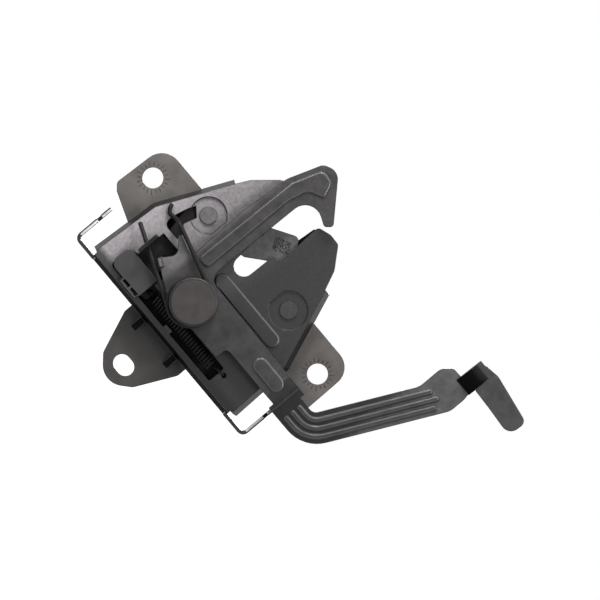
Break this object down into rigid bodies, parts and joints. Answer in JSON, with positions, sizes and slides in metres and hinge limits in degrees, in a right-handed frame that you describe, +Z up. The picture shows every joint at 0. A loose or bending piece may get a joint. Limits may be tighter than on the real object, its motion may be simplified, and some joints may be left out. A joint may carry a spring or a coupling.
{
  "type": "bonnet latch",
  "caption": "Pressed steel bonnet latch with a striker slot, sprung claw and pawl, and a safety lever with a hook, ribbed handle and finger paddle.",
  "frame": {"origin": "midpoint of the two upper bolt holes, on the ears' mounting face", "axes": "+X along the two upper bolt holes towards the handle, +Z up towards the incoming striker, +Y into the mounting panel"},
  "size_m": [0.1909, 0.0254, 0.1317],
  "materials": {
    "black_coat": "satin black dip coat",
    "lever_coat": "satin black dip coat",
    "claw_steel": "dark phosphate with grease",
    "spring_wire": "black spring wire",
    "holder_plastic": "dark moulded plastic",
    "washer_steel": "plain steel"
  },
  "bodies": {
    "frame": {"housing": "black_coat", "back_plate": "black_coat", "claw_rivet": "black_coat", "pawl_rivet": "black_coat", "lever_rivet": "black_coat", "lever_washer": "washer_steel", "claw_spring": "spring_wire", "pawl_spring": "spring_wire", "lever_spring": "spring_wire"},
    "claw": {"claw": "claw_steel"},
    "pawl": {"pawl": "black_coat", "cable_holder": "holder_plastic"},
    "lever": {"safety_lever": "lever_coat"}
  },
  "joints": [
    {"name": "lever_swing", "type": "hinge", "parent": "frame", "child": "lever", "pos_m": [-0.0025, -0.0165, -0.0205], "axis": [0, -1, 0], "range_deg": [0, 14], "stiffness_Nm_per_rad": 0.6, "springref_deg": -20.05, "deforming": ["lever_spring"]},
    {"name": "claw_turn", "type": "hinge", "parent": "frame", "child": "claw", "pos_m": [0.026, -0.0071, 0.008], "axis": [0, -1, 0], "range_deg": [0, 62], "stiffness_Nm_per_rad": 0.2, "springref_deg": -22.92, "deforming": ["claw_spring"]},
    {"name": "pawl_turn", "type": "hinge", "parent": "frame", "child": "pawl", "pos_m": [-0.027, -0.0071, 0.008], "axis": [0, 1, 0], "range_deg": [0, 7], "stiffness_Nm_per_rad": 1, "springref_deg": -17.19, "deforming": ["pawl_spring"]}
  ]
}
